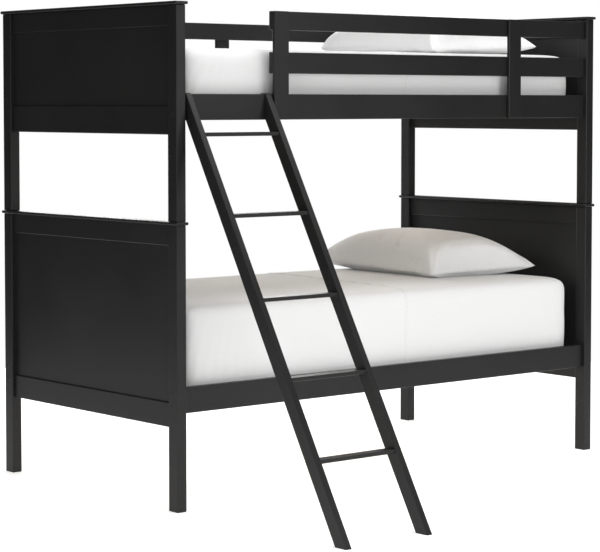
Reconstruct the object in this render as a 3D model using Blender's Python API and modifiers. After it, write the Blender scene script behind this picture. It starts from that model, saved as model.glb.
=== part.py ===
"""Twin-over-twin bunk bed with panelled ends, guard rails and a hooked ladder.

Metres, +Z up. X runs along the bed, Y from the ladder side to the wall side. Everything is
drawn from the outer corner of the front left post on the floor, and the root empty then puts
the middle of the whole footprint, ladder included, on the world's origin.
"""

from math import cos, radians, tan

import bmesh
import bpy
from mathutils import Matrix, Vector

# ---------------------------------------------------------------- driving dimensions, in metres
LENGTH = 2.030  # outer faces of the posts
WIDTH = 1.063  # outer faces of the posts

POST_X = 0.038
POST_Y = 0.050
CAP_THICK = 0.0108
CAP_OVERHANG = 0.007
LOWER_END_HEIGHT = 0.9694  # floor to the top of the lower cap
UPPER_END_HEIGHT = 0.7301  # lower cap to the top of the upper cap
LOWER_LEG = 0.2805  # floor to the lower end's bottom rail
UPPER_LEG = 0.2891  # lower cap to the upper end's bottom rail

END_RAIL_THICK = 0.018
END_TOP_RAIL = 0.070
LOWER_BOTTOM_RAIL = 0.083
UPPER_BOTTOM_RAIL = 0.094
PANEL_THICK = 0.006
GROOVE_DEPTH = 0.008

SIDE_RAIL_THICK = 0.022
SIDE_RAIL_HEIGHT = 0.0875
SIDE_RAIL_RISE = 0.048  # above the underside of the end's bottom rail
CLEAT = 0.020
CLEAT_RISE = 0.002  # above the underside of the side rail
SLAT_COUNT = 13
SLAT_WIDTH = 0.068
SLAT_THICK = 0.012
SLAT_END_MARGIN = 0.030  # post to the first slat
TAPE_WIDTH = 0.030
TAPE_THICK = 0.0015
TAPE_INSET = 0.210  # end of a slat to the tape

GUARD_THICK = 0.018
GUARD_TOP_BOARD = 0.0645
GUARD_TOP_DROP = 0.0107  # below the top of the upper posts
GUARD_MID_BOARD = 0.0730
GUARD_MID_RISE = 0.0708  # above the upper side rail
UPRIGHT_WIDTH = 0.064
UPRIGHT_THICK = 0.0137
LADDER_OPENING = 0.381  # front left post to the guard's first upright
SECOND_UPRIGHT = 0.468  # its left edge, from the right end's outer face

LADDER_LEAN = radians(30.0)  # from the vertical
STRINGER_THICK = 0.024
STRINGER_DEPTH = 0.047  # square to the slope
LADDER_FROM_POST = 0.0075
LADDER_WIDTH = 0.364  # outer faces of the stringers
RUNG_THICK = 0.013
RUNG_DEPTH = 0.042
RUNG_HOUSING = 0.008
FIRST_RUNG_DROP = 0.128  # top of the side rail to the top of the highest rung
UPPER_RUNG_STEPS = 2
UPPER_RUNG_STEP = 0.263
LOWER_RUNG_STEPS = 2
LOWER_RUNG_STEP = 0.2425
HOOK_THICK = 0.003
HOOK_WIDTH = 0.018
HOOK_OUTER_LEG = 0.060
HOOK_INNER_LEG = 0.036

PIN_RADIUS = 0.005
PIN_LENGTH = 0.064
BOLT_RADIUS = 0.0035
BOLT_HEAD_RADIUS = 0.0070
BOLT_HEAD_DEPTH = 0.0045
BOLT_SPACING = 0.049
BOLT_BORE = 0.062  # into the end of the side rail
BARREL_RADIUS = 0.0050
BARREL_FROM_END = 0.045
BARREL_BORE = 0.016  # into the inner face of the side rail

MATTRESS_END_GAP = 0.035  # post to mattress
MATTRESS_SIDE_GAP = 0.0105  # side rail to mattress
LOWER_MATTRESS = 0.318
UPPER_MATTRESS = 0.207
MATTRESS_ROUND = 0.034
PILLOW_X = 0.470
PILLOW_Y = 0.700
PILLOW_HEIGHT = 0.170
PILLOW_FROM_END = 0.337  # middle of the pillow to the right end's outer face
PILLOW_FROM_WALL_SIDE = 0.1075  # its edge to the outer faces of the wall-side posts

SOFT_EDGE = 0.0025
SAWN_EDGE = 0.0012
GAP = 0.0003  # between pieces that touch
PIN_CLEARANCE = 0.0004
REST_GAP = 0.0006  # under a mattress and a pillow
PIN_SIDES = 16  # facets round a dowel pin, a barrel nut and their bores
BOLT_SIDES = 16  # facets round a bolt and its bores

# ---------------------------------------------------------------- levels and planes worked out
CAP_WIDTH = POST_X + 2 * CAP_OVERHANG
RAIL_FRONT = (POST_Y - SIDE_RAIL_THICK) / 2
RAIL_BACK = RAIL_FRONT + SIDE_RAIL_THICK
TOTAL_HEIGHT = LOWER_END_HEIGHT + UPPER_END_HEIGHT
LOWER_RAIL_Z = LOWER_LEG + SIDE_RAIL_RISE
UPPER_RAIL_Z = LOWER_END_HEIGHT + UPPER_LEG + SIDE_RAIL_RISE
UPPER_RAIL_TOP = UPPER_RAIL_Z + SIDE_RAIL_HEIGHT
GUARD_TOP = TOTAL_HEIGHT - CAP_THICK - GUARD_TOP_DROP
SLOPE = tan(LADDER_LEAN)
STRINGER_RUN = STRINGER_DEPTH / cos(LADDER_LEAN)  # measured level
STRINGER_CUT = RAIL_FRONT - HOOK_THICK - 2 * GAP
LADDER_TOP = UPPER_RAIL_TOP - SAWN_EDGE
LADDER_LEFT = POST_X + LADDER_FROM_POST
LADDER_TIP = 0.003  # level flat at the top of each stringer
LADDER_FOOT = STRINGER_CUT - LADDER_TIP - LADDER_TOP * SLOPE
FOOTPRINT_MIDDLE = (LADDER_FOOT + WIDTH + CAP_OVERHANG) / 2


def clear_scene():
    for obj in list(bpy.data.objects):
        bpy.data.objects.remove(obj, do_unlink=True)


def new_collection(name):
    made = bpy.data.collections.new(name)
    bpy.context.scene.collection.children.link(made)
    return made


def new_material(name, colour, roughness, metallic=0.0):
    made = bpy.data.materials.new(name)
    made.use_nodes = True
    shader = made.node_tree.nodes["Principled BSDF"]
    shader.inputs["Base Color"].default_value = (*colour, 1.0)
    shader.inputs["Roughness"].default_value = roughness
    shader.inputs["Metallic"].default_value = metallic
    made.diffuse_color = (*colour, 1.0)
    return made


clear_scene()
PARTS = new_collection("bunk_bed")
CUTTERS = new_collection("cutters")
CUTTERS.hide_render = True
PAINT = new_material("black_satin_paint", (0.012, 0.012, 0.013), 0.38)
PINE = new_material("pine_slat", (0.62, 0.46, 0.28), 0.62)
STEEL = new_material("zinc_steel", (0.55, 0.56, 0.58), 0.35, 1.0)
BLACK_STEEL = new_material("black_steel", (0.015, 0.015, 0.016), 0.42, 0.6)
SHEET = new_material("white_sheet", (0.86, 0.86, 0.86), 0.90)
PILLOWCASE = new_material("white_pillowcase", (0.88, 0.88, 0.88), 0.90)


def new_empty(name, parent=None, location=(0.0, 0.0, 0.0)):
    empty = bpy.data.objects.new(name, None)
    empty.empty_display_size = 0.1
    empty.location = location
    empty.parent = parent
    PARTS.objects.link(empty)
    return empty


BED = new_empty("bunk_bed", location=(-LENGTH / 2, -FOOTPRINT_MIDDLE, 0.0))
LOWER_BED = new_empty("lower_bed_frame", BED)
UPPER_BED = new_empty("upper_bed_frame", BED, (0.0, 0.0, LOWER_END_HEIGHT))
LADDER = new_empty("ladder_frame", UPPER_BED, (0.0, 0.0, LADDER_TOP - LOWER_END_HEIGHT))


def finish(name, mesh_maker, place, frame, material, collection=PARTS):
    """Turns a bmesh into an object whose origin is at place, given in the bed's own corner frame."""
    mesh = bpy.data.meshes.new(name)
    mesh_maker.to_mesh(mesh)
    mesh_maker.free()
    obj = bpy.data.objects.new(name, mesh)
    collection.objects.link(obj)
    obj.parent = frame
    obj.location = Vector(place) - frame_corner(frame)
    if material:
        mesh.materials.append(material)
    return obj


def frame_corner(frame):
    """Where a body's empty stands, in the bed's own corner frame."""
    corner = Vector((0.0, 0.0, 0.0))
    while frame is not BED:
        corner += frame.location
        frame = frame.parent
    return corner


def soften(obj, width=SOFT_EDGE, segments=2):
    bevel = obj.modifiers.new("softened_edges", "BEVEL")
    bevel.width = width
    bevel.segments = segments
    bevel.limit_method = "ANGLE"
    obj.data.shade_smooth()
    obj.data.set_sharp_from_angle(angle=radians(50.0))


def board(name, low, high, frame, material=None, edge=SOFT_EDGE, segments=2):
    """A straight board between two corners."""
    low, high = Vector(low), Vector(high)
    size = high - low
    shape = bmesh.new()
    bmesh.ops.create_cube(shape, size=1.0, matrix=Matrix.Diagonal((*size, 1.0)))
    obj = finish(name, shape, (low + high) / 2, frame, material or PAINT)
    soften(obj, edge, segments)
    return obj


def subtract(obj, cutter):
    cut = obj.modifiers.new("cut_" + cutter.name, "BOOLEAN")
    cut.operation = "DIFFERENCE"
    cut.solver = "EXACT"
    cut.object = cutter


def as_cutter(obj):
    obj.hide_render = True
    obj.display_type = "WIRE"
    return obj


def cut_box(obj, name, low, high, frame):
    low, high = Vector(low), Vector(high)
    shape = bmesh.new()
    bmesh.ops.create_cube(shape, size=1.0, matrix=Matrix.Diagonal((*(high - low), 1.0)))
    cutter = as_cutter(finish(name, shape, (low + high) / 2, frame, None, CUTTERS))
    subtract(obj, cutter)


def cut_bore(obj, name, start, direction, depth, radius, frame, sides=BOLT_SIDES):
    """A round bore from start along direction."""
    turn = Vector((0.0, 0.0, 1.0)).rotation_difference(Vector(direction)).to_matrix().to_4x4()
    shape = bmesh.new()
    bmesh.ops.create_cone(
        shape, cap_ends=True, segments=sides, radius1=radius, radius2=radius, depth=depth, matrix=turn
    )
    middle = Vector(start) + Vector(direction) * depth / 2
    cutter = as_cutter(finish(name, shape, middle, frame, None, CUTTERS))
    subtract(obj, cutter)


# ---------------------------------------------------------------- the two panelled ends
def end_x(side, low, high):
    """X range of a piece of the left end, or its mirror at the right end."""
    if side == "left":
        return low, high
    return LENGTH - high, LENGTH - low


def post_y(row):
    return (0.0, POST_Y) if row == "front" else (WIDTH - POST_Y, WIDTH)


def pin_place(side, row):
    xs = end_x(side, 0.0, POST_X)
    ys = post_y(row)
    return (xs[0] + xs[1]) / 2, (ys[0] + ys[1]) / 2


def bolt_heights(rail_z):
    middle = rail_z + SIDE_RAIL_HEIGHT / 2
    return middle - BOLT_SPACING / 2, middle + BOLT_SPACING / 2


def post(level, side, row, base, top, panel_z, rail_z, frame):
    name = f"{level}_post_{row}_{side}"
    xs = end_x(side, 0.0, POST_X)
    ys = post_y(row)
    obj = board(name, (xs[0], ys[0], base), (xs[1], ys[1], top), frame)
    x, y = pin_place(side, row)
    half = PANEL_THICK / 2 + GAP
    inner, into = (ys[1], -1.0) if row == "front" else (ys[0], 1.0)
    groove_y = sorted((inner + into * (GROOVE_DEPTH + GAP), inner - into * GROOVE_DEPTH))
    low = (x - half, groove_y[0], panel_z[0] - GROOVE_DEPTH - GAP)
    high = (x + half, groove_y[1], panel_z[1] + GROOVE_DEPTH + GAP)
    cut_box(obj, name + "_groove", low, high, frame)
    outward = -1.0 if side == "left" else 1.0
    outer = xs[0] if side == "left" else xs[1]
    for number, z in enumerate(bolt_heights(rail_z), 1):
        start = (outer + outward * SOFT_EDGE, y, z)
        inward = (-outward, 0.0, 0.0)
        through = POST_X + 2 * SOFT_EDGE
        cut_bore(obj, f"{name}_bolt_{number}", start, inward, through, BOLT_RADIUS + PIN_CLEARANCE, frame)
        head = BOLT_HEAD_DEPTH + SOFT_EDGE
        cut_bore(obj, f"{name}_head_{number}", start, inward, head, BOLT_HEAD_RADIUS + PIN_CLEARANCE, frame)
    return obj


def bore_for_pin(obj, name, side, row, low, high, frame):
    x, y = pin_place(side, row)
    radius = PIN_RADIUS + PIN_CLEARANCE
    cut_bore(obj, name, (x, y, low), (0.0, 0.0, 1.0), high - low, radius, frame, PIN_SIDES)


def end_frame(level, side, base, top, leg, bottom_rail, frame):
    """Cap, top rail, panel and bottom rail of one end. top is the cap's top."""
    xs = end_x(side, 0.0, POST_X)
    x_mid = (xs[0] + xs[1]) / 2
    half_rail = END_RAIL_THICK / 2
    half_panel = PANEL_THICK / 2
    inner = (POST_Y + GAP, WIDTH - POST_Y - GAP)
    under_cap = top - CAP_THICK - GAP
    rail_low = base + leg
    panel_low = rail_low + bottom_rail
    panel_high = top - CAP_THICK - END_TOP_RAIL

    cap = board(
        f"{level}_cap_{side}",
        (x_mid - CAP_WIDTH / 2, -CAP_OVERHANG, top - CAP_THICK),
        (x_mid + CAP_WIDTH / 2, WIDTH + CAP_OVERHANG, top),
        frame,
        edge=CAP_THICK * 0.4,
        segments=3,
    )
    low = (x_mid - half_rail, inner[0], rail_low)
    bottom = board(f"{level}_bottom_rail_{side}", low, (x_mid + half_rail, inner[1], panel_low), frame)
    low = (x_mid - half_rail, inner[0], panel_high)
    top_rail = board(f"{level}_top_rail_{side}", low, (x_mid + half_rail, inner[1], under_cap), frame)
    tongue = GROOVE_DEPTH - GAP
    board(
        f"{level}_panel_{side}",
        (x_mid - half_panel, POST_Y - tongue, panel_low - tongue),
        (x_mid + half_panel, WIDTH - POST_Y + tongue, panel_high + tongue),
        frame,
        edge=SAWN_EDGE,
        segments=1,
    )
    half = half_panel + GAP
    past = POST_Y - SOFT_EDGE
    low = (x_mid - half, past, panel_low - GROOVE_DEPTH)
    cut_box(bottom, bottom.name + "_groove", low, (x_mid + half, WIDTH - past, panel_low + GROOVE_DEPTH), frame)
    low = (x_mid - half, past, panel_high - GROOVE_DEPTH)
    cut_box(top_rail, top_rail.name + "_groove", low, (x_mid + half, WIDTH - past, panel_high + GROOVE_DEPTH), frame)
    return cap, (panel_low, panel_high)


def build_ends():
    pin_low = LOWER_END_HEIGHT - PIN_LENGTH / 2
    pin_high = LOWER_END_HEIGHT + PIN_LENGTH / 2
    for side in ("left", "right"):
        low_cap, low_panel = end_frame(
            "lower", side, 0.0, LOWER_END_HEIGHT, LOWER_LEG, LOWER_BOTTOM_RAIL, LOWER_BED
        )
        _, high_panel = end_frame(
            "upper", side, LOWER_END_HEIGHT, TOTAL_HEIGHT, UPPER_LEG, UPPER_BOTTOM_RAIL, UPPER_BED
        )
        for row in ("front", "back"):
            low_top = LOWER_END_HEIGHT - CAP_THICK - GAP
            low_post = post("lower", side, row, 0.0, low_top, low_panel, LOWER_RAIL_Z, LOWER_BED)
            high_base = LOWER_END_HEIGHT + GAP
            high_top = TOTAL_HEIGHT - CAP_THICK - GAP
            high_post = post("upper", side, row, high_base, high_top, high_panel, UPPER_RAIL_Z, UPPER_BED)
            tag = f"{row}_{side}"
            bore_for_pin(low_post, f"lower_post_{tag}_pin", side, row, pin_low - GAP, LOWER_END_HEIGHT, LOWER_BED)
            bore_for_pin(
                low_cap, f"lower_cap_{tag}_pin", side, row, pin_low, LOWER_END_HEIGHT + SOFT_EDGE, LOWER_BED
            )
            bore_for_pin(
                high_post, f"upper_post_{tag}_pin", side, row, LOWER_END_HEIGHT - GAP, pin_high + GAP, UPPER_BED
            )
            dowel_pin(side, row, pin_low, pin_high)


def dowel_pin(side, row, low, high):
    """A steel pin that stands in the lower post and locates the upper one."""
    shape = bmesh.new()
    bmesh.ops.create_cone(
        shape, cap_ends=True, segments=PIN_SIDES, radius1=PIN_RADIUS, radius2=PIN_RADIUS, depth=high - low
    )
    x, y = pin_place(side, row)
    obj = finish(f"dowel_pin_{row}_{side}", shape, (x, y, (low + high) / 2), LOWER_BED, STEEL)
    soften(obj, SAWN_EDGE, 1)


# ---------------------------------------------------------------- side rails, cleats and slats
def rail_y(row, low, high):
    """Y range of a piece on the ladder side, or its mirror on the wall side."""
    if row == "front":
        return low, high
    return WIDTH - high, WIDTH - low


def side_rail(level, row, rail_z, frame):
    name = f"{level}_side_rail_{row}"
    ys = rail_y(row, RAIL_FRONT, RAIL_BACK)
    ends = (POST_X + GAP, LENGTH - POST_X - GAP)
    obj = board(name, (ends[0], ys[0], rail_z), (ends[1], ys[1], rail_z + SIDE_RAIL_HEIGHT), frame)
    y = (ys[0] + ys[1]) / 2
    inward = 1.0 if row == "front" else -1.0
    inner = ys[1] if row == "front" else ys[0]
    for side, start_x, along in (("left", ends[0], 1.0), ("right", ends[1], -1.0)):
        for number, z in enumerate(bolt_heights(rail_z), 1):
            tag = f"{name}_{side}_{number}"
            start = (start_x - along * SOFT_EDGE, y, z)
            depth = BOLT_BORE + SOFT_EDGE
            cut_bore(obj, tag + "_bolt", start, (along, 0.0, 0.0), depth, BOLT_RADIUS + PIN_CLEARANCE, frame)
            start = (start_x + along * BARREL_FROM_END, inner + inward * SOFT_EDGE, z)
            depth = BARREL_BORE + SOFT_EDGE
            radius = BARREL_RADIUS + PIN_CLEARANCE
            cut_bore(obj, tag + "_nut", start, (0.0, -inward, 0.0), depth, radius, frame, PIN_SIDES)


def cleat(level, row, rail_z, frame):
    ys = rail_y(row, RAIL_BACK + GAP, RAIL_BACK + GAP + CLEAT)
    low_z = rail_z + CLEAT_RISE
    low = (POST_X + SLAT_END_MARGIN / 2, ys[0], low_z)
    high = (LENGTH - POST_X - SLAT_END_MARGIN / 2, ys[1], low_z + CLEAT)
    board(f"{level}_cleat_{row}", low, high, frame, edge=SAWN_EDGE, segments=1)


def slat_roll(level, rail_z, frame):
    """Slats that two webbing tapes hold apart, as one piece that unrolls onto the cleats."""
    base = rail_z + CLEAT_RISE + CLEAT + GAP
    first = POST_X + SLAT_END_MARGIN
    last = LENGTH - POST_X - SLAT_END_MARGIN - SLAT_WIDTH
    pitch = (last - first) / (SLAT_COUNT - 1)
    slat_y = (RAIL_BACK + 4 * GAP, WIDTH - RAIL_BACK - 4 * GAP)
    middle = Vector((LENGTH / 2, WIDTH / 2, base + SLAT_THICK / 2))

    shape = bmesh.new()
    for number in range(SLAT_COUNT):
        x = first + number * pitch + SLAT_WIDTH / 2
        size = Matrix.Diagonal((SLAT_WIDTH, slat_y[1] - slat_y[0], SLAT_THICK, 1.0))
        bmesh.ops.create_cube(shape, size=1.0, matrix=Matrix.Translation((x - middle.x, 0.0, 0.0)) @ size)
    obj = finish(f"{level}_slat_roll", shape, middle, frame, PINE)
    for number, y in enumerate((slat_y[0] + TAPE_INSET, slat_y[1] - TAPE_INSET), 1):
        tape = bmesh.new()
        size = (last + SLAT_WIDTH - first - 2 * SAWN_EDGE, TAPE_WIDTH, TAPE_THICK + SAWN_EDGE)
        bmesh.ops.create_cube(tape, size=1.0, matrix=Matrix.Diagonal((*size, 1.0)))
        place = (middle.x, y, base + SLAT_THICK - size[2] / 2 - SAWN_EDGE)
        strip = as_cutter(finish(f"{level}_tape_{number}", tape, place, frame, None, CUTTERS))
        join = obj.modifiers.new(f"tape_{number}", "BOOLEAN")
        join.operation = "UNION"
        join.solver = "EXACT"
        join.object = strip


def build_decks():
    for level, rail_z, frame in (("lower", LOWER_RAIL_Z, LOWER_BED), ("upper", UPPER_RAIL_Z, UPPER_BED)):
        for row in ("front", "back"):
            side_rail(level, row, rail_z, frame)
            cleat(level, row, rail_z, frame)
        slat_roll(level, rail_z, frame)


# ---------------------------------------------------------------- guard rails
def guard(row, start_x, uprights):
    """Two boards in the plane of the side rail, and uprights on their outer faces down to the rail's foot."""
    ys = rail_y(row, RAIL_FRONT, RAIL_FRONT + GUARD_THICK)
    end = LENGTH - POST_X - GAP
    boards = (
        ("top", GUARD_TOP - GUARD_TOP_BOARD, GUARD_TOP),
        ("mid", UPPER_RAIL_TOP + GUARD_MID_RISE, UPPER_RAIL_TOP + GUARD_MID_RISE + GUARD_MID_BOARD),
    )
    for place, low, high in boards:
        board(f"{row}_guard_{place}_board", (start_x, ys[0], low), (end, ys[1], high), UPPER_BED)
    ys = rail_y(row, RAIL_FRONT - GAP - UPRIGHT_THICK, RAIL_FRONT - GAP)
    for name, x in uprights:
        low = (x, ys[0], UPPER_RAIL_Z)
        board(f"{row}_guard_{name}_upright", low, (x + UPRIGHT_WIDTH, ys[1], GUARD_TOP), UPPER_BED)


def build_guards():
    start = POST_X + LADDER_OPENING
    guard("front", start, (("left", start), ("right", LENGTH - SECOND_UPRIGHT)))
    guard("back", POST_X + GAP, (("centre", (LENGTH - UPRIGHT_WIDTH) / 2),))


# ---------------------------------------------------------------- ladder
def front_line(z):
    """Y of the stringers' front edge at a height."""
    return LADDER_FOOT + z * SLOPE


def rung_front(top):
    """Y of a rung's front edge, which leaves as much stringer before it as behind it."""
    return front_line(top - RUNG_THICK / 2) + (STRINGER_RUN - RUNG_DEPTH) / 2


def saw(shape, point, normal):
    """Cuts a solid at a plane, throws away the side that the normal points to, and closes the cut."""
    geometry = shape.verts[:] + shape.edges[:] + shape.faces[:]
    cut = bmesh.ops.bisect_plane(shape, geom=geometry, plane_co=point, plane_no=normal, clear_outer=True)
    edges = [item for item in cut["geom_cut"] if isinstance(item, bmesh.types.BMEdge)]
    bmesh.ops.holes_fill(shape, edges=edges)


def stringer(side, low_x, rungs):
    """A board with softened long edges, leant over and sawn level at the floor and upright at the rail."""
    middle = Vector((low_x + STRINGER_THICK / 2, front_line(LADDER_TOP / 2) + STRINGER_RUN / 2, LADDER_TOP / 2))
    shape = bmesh.new()
    size = (STRINGER_THICK, STRINGER_DEPTH, LADDER_TOP * 1.5)
    bmesh.ops.create_cube(shape, size=1.0, matrix=Matrix.Diagonal((*size, 1.0)))
    long_edges = [edge for edge in shape.edges if abs(edge.verts[0].co.z - edge.verts[1].co.z) > STRINGER_DEPTH]
    bmesh.ops.bevel(shape, geom=long_edges, offset=SOFT_EDGE, segments=2, profile=0.5, affect="EDGES")
    bmesh.ops.rotate(shape, verts=shape.verts, matrix=Matrix.Rotation(-LADDER_LEAN, 3, "X"))
    saw(shape, (0.0, 0.0, -middle.z), (0.0, 0.0, -1.0))
    saw(shape, (0.0, 0.0, LADDER_TOP - middle.z), (0.0, 0.0, 1.0))
    saw(shape, (0.0, STRINGER_CUT - middle.y, 0.0), (0.0, 1.0, 0.0))
    obj = finish(f"ladder_stringer_{side}", shape, middle, LADDER, PAINT)
    obj.data.shade_smooth()
    obj.data.set_sharp_from_angle(angle=radians(50.0))
    inner = low_x + STRINGER_THICK if side == "left" else low_x
    depth = RUNG_HOUSING + GAP
    for number, top in enumerate(rungs, 1):
        y = rung_front(top)
        low = (inner - depth, y - GAP, top - RUNG_THICK - GAP)
        high = (inner + depth, y + RUNG_DEPTH + GAP, top + GAP)
        cut_box(obj, f"{obj.name}_housing_{number}", low, high, LADDER)
    return obj


def hook(side, low_x):
    """A steel strap screwed to the sawn face of a stringer, bent over the side rail and down its inner face."""
    xs = (low_x + (STRINGER_THICK - HOOK_WIDTH) / 2, low_x + (STRINGER_THICK + HOOK_WIDTH) / 2)
    outer = STRINGER_CUT + GAP
    inner = RAIL_BACK + GAP
    under = UPPER_RAIL_TOP + GAP
    low = (xs[0], outer, under - HOOK_OUTER_LEG)
    high = (xs[1], inner + HOOK_THICK, under + HOOK_THICK)
    obj = board(f"ladder_hook_{side}", low, high, LADDER, BLACK_STEEL, edge=HOOK_THICK * 0.3, segments=1)
    throat = outer + HOOK_THICK
    past = 2 * HOOK_THICK
    low = (xs[0] - past, throat, under - HOOK_OUTER_LEG - past)
    cut_box(obj, f"{obj.name}_throat", low, (xs[1] + past, inner, under), LADDER)
    low = (xs[0] - past, inner - past, under - HOOK_OUTER_LEG - past)
    cut_box(obj, f"{obj.name}_tip", low, (xs[1] + past, inner + past, under - HOOK_INNER_LEG), LADDER)


def rung_tops():
    """Tops of the rungs, highest first."""
    tops = [UPPER_RAIL_TOP - FIRST_RUNG_DROP]
    for step in [UPPER_RUNG_STEP] * UPPER_RUNG_STEPS + [LOWER_RUNG_STEP] * LOWER_RUNG_STEPS:
        tops.append(tops[-1] - step)
    return tops


def build_ladder():
    rungs = rung_tops()
    right_x = LADDER_LEFT + LADDER_WIDTH - STRINGER_THICK
    for side, low_x in (("left", LADDER_LEFT), ("right", right_x)):
        stringer(side, low_x, rungs)
        hook(side, low_x)
    ends = (LADDER_LEFT + STRINGER_THICK - RUNG_HOUSING, right_x + RUNG_HOUSING)
    for number, top in enumerate(rungs, 1):
        y = rung_front(top)
        low = (ends[0], y, top - RUNG_THICK)
        board(f"ladder_rung_{number}", low, (ends[1], y + RUNG_DEPTH, top), LADDER)


# ---------------------------------------------------------------- mattresses and pillows
def mattress(level, rail_z, thick, frame):
    """One mattress on its slats; gives back the height of its top."""
    base = rail_z + CLEAT_RISE + CLEAT + GAP + SLAT_THICK + REST_GAP
    low = (POST_X + MATTRESS_END_GAP, RAIL_BACK + MATTRESS_SIDE_GAP, base)
    high = (LENGTH - POST_X - MATTRESS_END_GAP, WIDTH - RAIL_BACK - MATTRESS_SIDE_GAP, base + thick)
    board(f"mattress_{level}", low, high, frame, SHEET, edge=MATTRESS_ROUND, segments=4)
    return base + thick


def pillow(level, base, frame):
    """A plump lens with thin edges, from a coarse cage."""
    cuts = 3
    half = Vector((PILLOW_X / 2, PILLOW_Y / 2, PILLOW_HEIGHT / 2))
    edge = 0.12  # thickness left at the seam, as a share of the height
    shape = bmesh.new()
    bmesh.ops.create_cube(shape, size=2.0)
    bmesh.ops.subdivide_edges(shape, edges=shape.edges[:], cuts=cuts, use_grid_fill=True)
    for vert in shape.verts:
        x, y, z = vert.co
        swell = (1.0 - x**4) ** 0.5 * (1.0 - y**4) ** 0.5
        vert.co = (x * half.x, y * half.y, z * half.z * (edge + (1.0 - edge) * swell))
    y = WIDTH - PILLOW_FROM_WALL_SIDE - half.y
    middle = (LENGTH - PILLOW_FROM_END, y, base + REST_GAP + half.z)
    obj = finish(f"pillow_{level}", shape, middle, frame, PILLOWCASE)
    rounding = obj.modifiers.new("rounding", "SUBSURF")
    rounding.levels = 1
    rounding.render_levels = 1
    obj.data.shade_smooth()


def build_bedding():
    for level, rail_z, thick, frame in (
        ("lower", LOWER_RAIL_Z, LOWER_MATTRESS, LOWER_BED),
        ("upper", UPPER_RAIL_Z, UPPER_MATTRESS, UPPER_BED),
    ):
        top = mattress(level, rail_z, thick, frame)
        pillow(level, top, frame)


build_ends()
build_decks()
build_guards()
build_ladder()
build_bedding()
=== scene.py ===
# %% [markdown]
# # A bunk bed with a ladder
#
# This lesson dresses a finished wooden bunk bed: it paints and ages the timber, puts in the bolts that
# hold the rails, and makes up both beds with a fitted sheet and a pillow.
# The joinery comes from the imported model, which stays exactly as it is. Everything soft or small is made
# here, around it, and rides on the same moving bodies.

# %% Load the joinery
from math import cos, exp, hypot, pi, radians, sin

import bpy
import numpy as np
from mathutils import Matrix, Vector, noise


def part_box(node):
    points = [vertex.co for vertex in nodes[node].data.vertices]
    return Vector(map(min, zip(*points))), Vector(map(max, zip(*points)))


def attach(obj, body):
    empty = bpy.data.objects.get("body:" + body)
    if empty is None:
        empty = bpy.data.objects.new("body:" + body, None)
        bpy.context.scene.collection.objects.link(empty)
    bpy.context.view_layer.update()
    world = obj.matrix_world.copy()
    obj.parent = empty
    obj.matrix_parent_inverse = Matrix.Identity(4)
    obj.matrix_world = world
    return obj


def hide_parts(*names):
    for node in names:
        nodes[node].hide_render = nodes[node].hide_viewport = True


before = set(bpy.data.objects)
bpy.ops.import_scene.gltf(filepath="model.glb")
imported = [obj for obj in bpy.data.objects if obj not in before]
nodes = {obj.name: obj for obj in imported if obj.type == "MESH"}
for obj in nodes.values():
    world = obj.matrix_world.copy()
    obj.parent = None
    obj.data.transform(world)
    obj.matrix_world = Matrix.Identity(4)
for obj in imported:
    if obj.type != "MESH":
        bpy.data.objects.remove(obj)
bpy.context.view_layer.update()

# %% [markdown]
# ## The camera and the room
#
# A bed is usually pictured from standing eye height, a few steps off one corner, with a long lens, so that
# the posts stay nearly upright. The lens is tipped down by three degrees, and a little shift does the rest:
# tipping it further would make the posts lean.

# %% Camera
CAMERA_PLACE = (-5.1866, -5.7230, 1.3612)
CAMERA_PITCH = radians(90.0 - 3.045)
CAMERA_TURN = radians(-40.094)
CAMERA_LENS = 126.66
CAMERA_SHIFT = -0.10

camera = bpy.data.objects.new("camera", bpy.data.cameras.new("camera"))
bpy.context.scene.collection.objects.link(camera)
bpy.context.scene.camera = camera
camera.location = CAMERA_PLACE
camera.rotation_euler = (CAMERA_PITCH, 0.0, CAMERA_TURN)
camera.data.lens = CAMERA_LENS
camera.data.sensor_width = 36.0
camera.data.shift_y = CAMERA_SHIFT
camera.data.clip_end = 100.0
bpy.context.scene.view_settings.view_transform = "Standard"
print("camera at", CAMERA_PLACE, "with a", CAMERA_LENS, "mm lens")

# %% [markdown]
# ## Small helpers for node trees
#
# A shader tree gets long when each node takes four lines. One helper makes a node, sets its options, and
# then fills its inputs: a plain value is typed in, and a socket is linked.


# %% Node helpers
def add(tree, kind, inputs=None, **options):
    node = tree.nodes.new("ShaderNode" + kind)
    for key, value in options.items():
        setattr(node, key, value)
    for key, value in (inputs or {}).items():
        if isinstance(value, bpy.types.NodeSocket):
            tree.links.new(value, node.inputs[key])
        else:
            node.inputs[key].default_value = value
    return node


def math(tree, operation, first, second=0.0, clamp=False):
    return add(tree, "Math", {0: first, 1: second}, operation=operation, use_clamp=clamp).outputs[0]


def new_group(name, inputs, outputs):
    """A shader node group with number and vector inputs, and its two end nodes."""
    group = bpy.data.node_groups.new(name, "ShaderNodeTree")
    for title, value in inputs.items():
        kind = "NodeSocketVector" if value is None else "NodeSocketFloat"
        socket = group.interface.new_socket(name=title, in_out="INPUT", socket_type=kind)
        if value is not None:
            socket.default_value = value
    for title in outputs:
        group.interface.new_socket(name=title, in_out="OUTPUT", socket_type="NodeSocketFloat")
    return group, group.nodes.new("NodeGroupInput").outputs, group.nodes.new("NodeGroupOutput").inputs


def use(tree, group, inputs):
    node = tree.nodes.new("ShaderNodeGroup")
    node.node_tree = group
    for key, value in inputs.items():
        if isinstance(value, bpy.types.NodeSocket):
            tree.links.new(value, node.inputs[key])
        else:
            node.inputs[key].default_value = value
    return node.outputs


def new_material(name):
    """A material with one Principled shader; gives the material, its tree and that shader."""
    material = bpy.data.materials.new(name)
    material.use_nodes = True
    return material, material.node_tree, material.node_tree.nodes["Principled BSDF"]


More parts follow.
